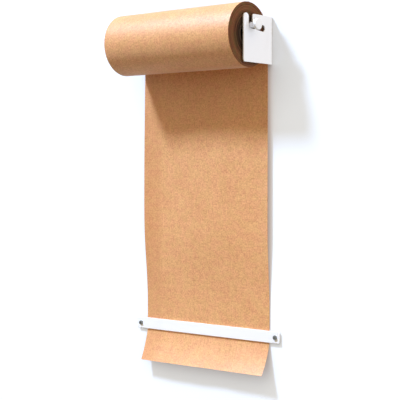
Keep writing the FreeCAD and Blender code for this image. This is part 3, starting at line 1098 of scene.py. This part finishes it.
@dataclass
class PaperRoll:
    """The wound paper and the board core inside it."""

    axis_y: float = -65.0
    axis_z: float = 6.2
    radius: float = 58.0
    bore: float = 26.05
    core_outer: float = 25.95
    core_inner: float = 22.5
    half_width: float = 150.0
    windings: int = 44
    steps: int = 160
    seed: int = 11
    drift_kept: float = 0.82
    drift_step: float = 0.16
    step_in: float = 0.32
    slip: float = 0.45
    slip_chance: float = 0.08
    least_in: float = 0.05
    most_in: float = 1.4
    groove: float = 0.14
    land: Point2 = (0.22, 0.82)
    rim_land: float = 0.35
    rim_edge: Cuts = ((0.3, 0.3), (0.12, 0.1), (0.35, 0.0))
    outside_steps: int = 60
    sunk: float = 0.05
    waviness: float = 0.035
    waves: tuple[tuple[float, ...], ...] = ((1.0, 2, 70.0, 0.0), (0.6, 5, -41.0, 1.7))
    core_bore_edge: Cuts = ((0.4, 0.0), (0.1, -0.25), (0.0, -0.7))
    core_edge: Cuts = ((0.0, 0.7), (0.1, 0.2), (0.4, 0.0))
    core_lands: int = 12
    core_steps: int = 96

    def end_rings(self) -> list[Point2]:
        """Wound layers of one end, from the bore to the rim, each a little in or out."""
        draw = random.Random(self.seed)
        width = (self.radius - self.rim_land - self.bore) / self.windings
        rings, drift = [], 0.0
        for number in range(self.windings):
            drift = self.drift_kept * drift + draw.uniform(-self.drift_step, self.drift_step)
            slip = self.slip if draw.random() < self.slip_chance else 0.0
            step_in = min(max(self.step_in + drift + slip, self.least_in), self.most_in)
            place = self.half_width - step_in
            start = self.bore + number * width
            rings.append((place - self.groove, start))
            rings += [(place, start + width * share) for share in self.land]
        return rings

    def lands(self, steps: int) -> list[float]:
        """Places along the axis between both ends."""
        return [self.half_width * (1 - 2 * step / steps) for step in range(1, steps)]

    def roll(self) -> Shape:
        """The wound paper, with layered ends and a faintly uneven outside."""
        end = self.end_rings() + soft_edge(self.half_width, self.radius, self.rim_edge)
        outside = [(along, self.radius) for along in self.lands(self.outside_steps)]
        first, last = len(end) - 1, len(end) + len(outside) - 1

        def ripple(along: float, angle: float) -> float:
            """Faint waves of a real winding: each's height, count round, length and phase."""
            return -self.sunk - self.waviness * sum(
                high * math.sin(count * angle + along / long + phase)
                for high, count, long, phase in self.waves
            )

        def finish_of(number: int) -> int:
            """Paper face on the outside, cut layers on the ends."""
            return 0 if first <= number <= last else 1

        profile = end + outside + other_end(end)
        shape = Shape().turned(profile, self.steps, ripple, finish_of, closed=True)
        return shape.shifted(self.axis_y, self.axis_z)

    def core(self) -> Shape:
        """The core tube, with soft cut ends."""
        end, outer, inner = self.half_width, self.core_outer, self.core_inner
        half = soft_edge(end, inner, self.core_bore_edge) + soft_edge(end, outer, self.core_edge)
        lands = self.lands(self.core_lands)
        profile = half + [(along, outer) for along in lands]
        profile += other_end(half) + [(-along, inner) for along in lands]
        shape = Shape().turned(profile, self.core_steps, closed=True)
        return shape.shifted(self.axis_y, self.axis_z)

    def build(self, shop: Workshop) -> None:
        """Make the paper and the core."""
        shop.fit(
            "paper_roll", "wound", self.roll(), [shop.kraft, shop.layers], Body.ROLL, Slot.KRAFT,
            sharp=60.0,
        )
        shop.fit("core_tube", "board", self.core(), [shop.board], Body.ROLL, Slot.BOARD)


@dataclass
class HangingSheet:
    """The paper that leaves the roll's back, runs down behind the bar and curls out below it."""

    half_width: float = 150.0
    length: float = 618.0
    thickness: float = 0.24
    thin_end: float = 0.15
    roll_y: float = -65.0
    roll_z: float = 6.2
    wrap_radius: float = 58.16
    wrap_angle: float = 12.0
    bar_y: float = -0.75
    bend_top: float = -344.2
    bend_end: float = -494.2
    turn_top: float = -544.2
    turn_radius: float = 50.0
    turn_angle: float = 14.0
    curl_length: float = 55.9
    left_curl: float = 267.0
    right_curl: float = 169.0
    wave: float = 2.6
    wave_place: float = -105.0
    wave_length: float = 40.0
    ripple: float = 0.35
    ripple_length: float = 19.0
    ripple_phase: float = 0.8
    end_waves: tuple[Point3, ...] = ((0.55, 31.0, 0.4), (0.3, 13.5, 0.0))
    left_margin: float = -104.0
    left_rise: float = 5.0
    right_margin: float = 120.0
    right_rise: float = 3.2
    held_top: float = -30.0
    top_run: float = 300.0
    held_end: float = -484.0
    end_run: float = 190.0
    wrap_rows: int = 6
    fall_rows: int = 90
    turn_rows: int = 10
    curl_rows: int = 30
    columns: int = 120

    def rows(self) -> list[tuple[str, float]]:
        """Stations down the sheet: an angle on the roll, a height, or a length along the curl."""
        spans = (
            ("wrap", self.wrap_angle, 0.0, self.wrap_rows, 0, 0),
            ("fall", self.roll_z, self.turn_top, self.fall_rows, 0, 1),
            ("turn", 0.0, self.turn_angle, self.turn_rows, 1, 1),
            ("curl", 0.0, self.curl_length, self.curl_rows, 1, 1),
        )
        return [
            (kind, start + (end - start) * step / count)
            for kind, start, end, count, first, extra in spans
            for step in range(first, count + extra)
        ]

    def middle(self, station: tuple[str, float], x: float) -> tuple[Vector, Vector]:
        """The sheet's middle surface and its direction to the wall at one place.

        Args:
            station: A row from rows().
            x: The place across the sheet.

        Returns:
            The point and the unit normal that points to the wall.
        """
        kind, value = station
        if kind == "wrap":
            angle = math.radians(value)
            out = Vector((0, math.cos(angle), math.sin(angle)))
            return Vector((x, self.roll_y, self.roll_z)) + out * self.wrap_radius, out
        if kind == "fall":
            top_y, run = self.roll_y + self.wrap_radius, self.bend_end - self.bend_top
            shift, share = self.bar_y - top_y, limited((value - self.bend_top) / run)
            slope = shift * 6 * share * (1 - share) / run
            y = top_y + shift * smoothed(share) + self.slack(x) * self.freedom(value)
            return Vector((x, y, value)), Vector((0, 1, -slope)).normalized()
        angle = math.radians(value if kind == "turn" else self.turn_angle)
        y = self.bar_y - self.turn_radius * (1 - math.cos(angle))
        z = self.turn_top - self.turn_radius * math.sin(angle)
        if kind == "curl":
            across = (x + self.half_width) / (2 * self.half_width)
            radius = 1 / ((1 - across) / self.left_curl + across / self.right_curl)
            share, start = value / self.curl_length, angle
            angle += value / radius
            y -= radius * (math.cos(start) - math.cos(angle)) - self.edge_wave(x) * share * share
            z -= radius * (math.sin(angle) - math.sin(start))
        return Vector((x, y, z)), Vector((0, math.cos(angle), -math.sin(angle)))

    def freedom(self, z: float) -> float:
        """How free the sheet is at a height: not at the roll, nor where it can reach the bar."""
        below = limited((self.held_top - z) / self.top_run)
        above = limited((z - self.held_end) / self.end_run)
        return below * (2 - below) * smoothed(above)

    def slack(self, x: float) -> float:
        """How far the hanging stretch stands off its flat run, its left margin curled forward."""
        left = max(0.0, (self.left_margin - x) / (self.half_width + self.left_margin))
        right = max(0.0, (x - self.right_margin) / (self.half_width - self.right_margin))
        wave = self.wave * math.cos((x - self.wave_place) / self.wave_length)
        wave += self.ripple * math.sin(x / self.ripple_length + self.ripple_phase)
        return wave - self.left_rise * left * left - self.right_rise * right * right

    def edge_wave(self, x: float) -> float:
        """Ripple of the free end, from each wave's height, length and phase."""
        return sum(high * math.sin(x / long + phase) for high, long, phase in self.end_waves)

    def shape(self) -> Shape:
        """Both faces of the sheet and its four edges."""
        shape, rows, count = Shape(), self.rows(), self.columns + 1
        xs = [-self.half_width + 2 * self.half_width * step / self.columns for step in range(count)]
        centres = [self.middle(station, 0.0)[0] for station in rows]
        places = [0.0]
        for above, below in zip(centres, centres[1:]):
            places.append(places[-1] + (below - above).length)
        for face in (-1, 1):
            for number, station in enumerate(rows):
                thin = min(1.0, self.thin_end + number / (self.wrap_rows - 1))
                for x in xs:
                    point, normal = self.middle(station, x)
                    shape.points.append(tuple(point + normal * (face * self.thickness / 2 * thin)))
        back = len(rows) * count

        def add(*corners: tuple[int, int, int]) -> None:
            """Add a face from its corners' rows, columns and sides."""
            numbers = [behind * back + row * count + column for row, column, behind in corners]
            shape.add_face(numbers, [(xs[column], places[row]) for row, column, _ in corners])

        for row in range(len(rows) - 1):
            under = row + 1
            for column in range(self.columns):
                after = column + 1
                ring = ((row, column), (row, after), (under, after), (under, column))
                add(*((a, b, 0) for a, b in ring[::-1]))
                add(*((a, b, 1) for a, b in ring))
            for column in (0, self.columns):
                add((row, column, 0), (row, column, 1), (under, column, 1), (under, column, 0))
        for row in (0, len(rows) - 1):
            for column in range(self.columns):
                after = column + 1
                add((row, column, 0), (row, after, 0), (row, after, 1), (row, column, 1))
        return shape

    def build(self, shop: Workshop) -> None:
        """Make the sheet at rest on no body, and hide the frame's sheet."""
        made = shop.piece("paper_sheet_hung", self.shape(), [shop.hung_kraft], sharp=60.0)
        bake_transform(made)
        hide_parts("paper_sheet")
        log.info("%s: %d faces, hangs from the roll", made.name, len(made.data.polygons))


@dataclass
class TearBar:
    """The flat bar that the paper is torn against, its spacers and its two screws."""

    half_length: float = 174.0
    half_height: float = 11.0
    thickness: float = 2.5
    middle_z: float = -538.2
    back_y: float = -1.5
    corner: float = 3.0
    edge: float = 0.4
    bevel: float = 0.9
    bevel_depth: float = 0.6
    screw_x: float = 165.0
    screw_head: float = 8.6
    screw_head_height: float = 3.0
    hole_radius: float = 2.35
    spacer_radius: float = 5.0
    spacer_edge: float = 0.3
    spacer_steps: int = 40

    def bar(self, shop: Workshop) -> None:
        """Make the flat bar, stood up, with its tearing edge bevelled."""
        a, b = self.half_length, self.half_height
        outline = rounded([(x, z, self.corner) for x, z in ((-a, -b), (a, -b), (a, b), (-a, b))])
        holes = [hole(side.value * self.screw_x, 0.0, self.hole_radius) for side in Side]
        shape = Shape().pressed([outline, *holes], self.thickness, self.edge)

        def stand(point: Point3) -> Point3:
            """Stand the bar up; its front lower edge slopes back."""
            x, up, deep = point
            low = max(self.bevel - self.half_height - up, 0.0)
            front = self.thickness - (low if deep > self.thickness - self.bevel_depth else 0.0)
            return x, self.back_y - min(deep, front), self.middle_z + up

        shop.fit(
            "tear_bar", "plate", shape, [shop.coat], Body.WALL, Slot.POWDER_COAT,
            slices=[(1, self.bevel - self.half_height)], rule=stand, weighted=True,
        )

    def spacer(self, side: Side) -> Shape:
        """One ring that keeps the bar off the wall."""
        length, outer, inner = -self.back_y, self.spacer_radius, self.hole_radius
        edge = self.spacer_edge
        profile = [(0.0, inner), (0.0, outer - edge), (edge, outer), (length - edge, outer)]
        profile += [(length, outer - edge), (length, inner)]
        ring = Shape().turned(profile, self.spacer_steps, closed=True)
        return ring.stood((side.value * self.screw_x, self.back_y, self.middle_z))

    def build(self, shop: Workshop) -> None:
        """Make the bar, its spacers and its screws."""
        self.bar(shop)
        front = self.back_y - self.thickness
        for side in Side:
            shop.fit(
                f"{side.word}_bar_spacer", "ring", self.spacer(side), [shop.coat], Body.WALL,
                Slot.POWDER_COAT,
            )
            Screw(
                f"{side.word}_bar_screw", self.screw_head, self.screw_head_height, -front,
                (side.value * self.screw_x, front, self.middle_z), turn=0.5 - 0.35 * side.value,
            ).build(shop)


# Studio

@dataclass
class Studio:
    """The pale wall and floor, the soft light and the camera."""

    wall_y: float = 0.001
    floor_z: float = -1.4
    reach: float = 9.0
    key_place: Point3 = (-0.935, -1.50, 1.95)
    key_radius: float = 0.22
    key_power: float = 36.0
    fill: float = 0.195
    side_fill: float = 1.57
    sky_fill: float = 1.2
    side_focus: float = 5.0
    sky_focus: float = 1.0
    key_shade: Colour = (1.0, 1.29, 1.82, 1.0)
    bounce: Colour = (1.0, 0.66, 0.08, 1.0)
    warm: Colour = (1.0, 0.83, 0.62, 1.0)
    cool: Colour = (0.98, 1.19, 1.60, 1.0)
    eye: Point3 = (1.3718, -1.6704, -0.2355)
    yaw: float = 39.709
    pitch: float = -1.467
    lens: float = 102.12
    film_width: float = 36.0

    def backdrop(self) -> None:
        """A wall behind the holder and a floor well under it, which only the camera sees."""
        material = Backdrop().build()
        far, y, z = self.reach, self.wall_y, self.floor_z
        wall = [(-far, y, z), (far, y, z), (far, y, far), (-far, y, far)]
        floor = [(-far, -far, z), (far, -far, z), (far, y, z), (-far, y, z)]
        for name, corners in (("studio_wall", wall), ("studio_floor", floor)):
            mesh = bpy.data.meshes.new(name)
            mesh.from_pydata(corners, [], [(0, 1, 2, 3)])
            mesh.materials.append(material)
            made = added(name, mesh)
            made.visible_diffuse = made.visible_glossy = False
            made.visible_transmission = made.visible_shadow = False

    def lamp(self) -> None:
        """A soft key lamp up to the left, whose light doesn't fade with distance."""
        key = bpy.data.lights.new("key", "POINT")
        key.energy, key.shadow_soft_size = self.key_power, self.key_radius
        graph = Graph(key)
        steady = graph.node("LightFalloff", {"Strength": 1.0}, output="Constant")
        light = graph.node("Emission", {"Strength": steady, "Color": self.key_shade})
        graph.node("OutputLight", {"Surface": light})
        added("key", key).location = self.key_place

    def world(self) -> None:
        """Soft light, stronger from above and the right, and white to the camera and in gloss."""
        world = bpy.data.worlds.new("studio")
        bpy.context.scene.world = world
        graph = Graph(world)
        place = graph.node("TexCoord", output="Generated")
        parts = [(graph.shade(self.bounce), self.fill)]
        sides = (
            ("Z", self.warm, self.sky_fill, self.sky_focus),
            ("X", self.cool, self.side_fill, self.side_focus),
        )
        for axis, shade, share, focus in sides:
            along = graph.node("SeparateXYZ", {0: place}, output=axis)
            ahead = along.maths("MAXIMUM", along, 0.0)
            parts.append((graph.shade(shade), ahead.maths("POWER", ahead, focus) * share))
        lights = [
            graph.node("VectorMath", {0: shade, 3: share}, operation="SCALE")
            for shade, share in parts
        ]
        light = lights[0]
        for more in lights[1:]:
            light = graph.node("VectorMath", {0: light, 1: more}, operation="ADD")
        soft = graph.node("Background", {"Color": light, "Strength": 1.0})
        white = graph.node("Background", {"Color": (1, 1, 1, 1), "Strength": 1.0})
        seen = graph.node("LightPath", output="Is Camera Ray")
        for ray in ("Is Glossy Ray", "Is Transmission Ray"):
            seen = seen + graph.node("LightPath", output=ray)
        both = graph.node("MixShader", {0: seen, 1: soft, 2: white})
        graph.node("OutputWorld", {"Surface": both})

    def camera(self) -> None:
        """The camera at the photograph's place."""
        data = bpy.data.cameras.new("view")
        data.lens, data.sensor_width = self.lens, self.film_width
        made = added("view", data)
        yaw, pitch = math.radians(self.yaw), math.radians(self.pitch)
        level = math.cos(pitch)
        ahead = Vector((-math.sin(yaw) * level, math.cos(yaw) * level, math.sin(pitch)))
        made.location = self.eye
        made.rotation_euler = ahead.to_track_quat("-Z", "Y").to_euler()
        bpy.context.scene.camera = made

    def build(self) -> None:
        """Set the scene round the holder."""
        bpy.context.scene.view_settings.view_transform = "Standard"
        self.backdrop()
        self.lamp()
        self.world()
        self.camera()


def main() -> None:
    """Build the holder's looks, one sub-assembly after another."""
    logging.basicConfig(level=logging.INFO, format="%(message)s")
    Studio().build()
    shop = Workshop()
    for part in (Brackets(), RodSet(), PaperRoll(), HangingSheet(), TearBar()):
        part.build(shop)


if __name__ == "__main__":
    main()
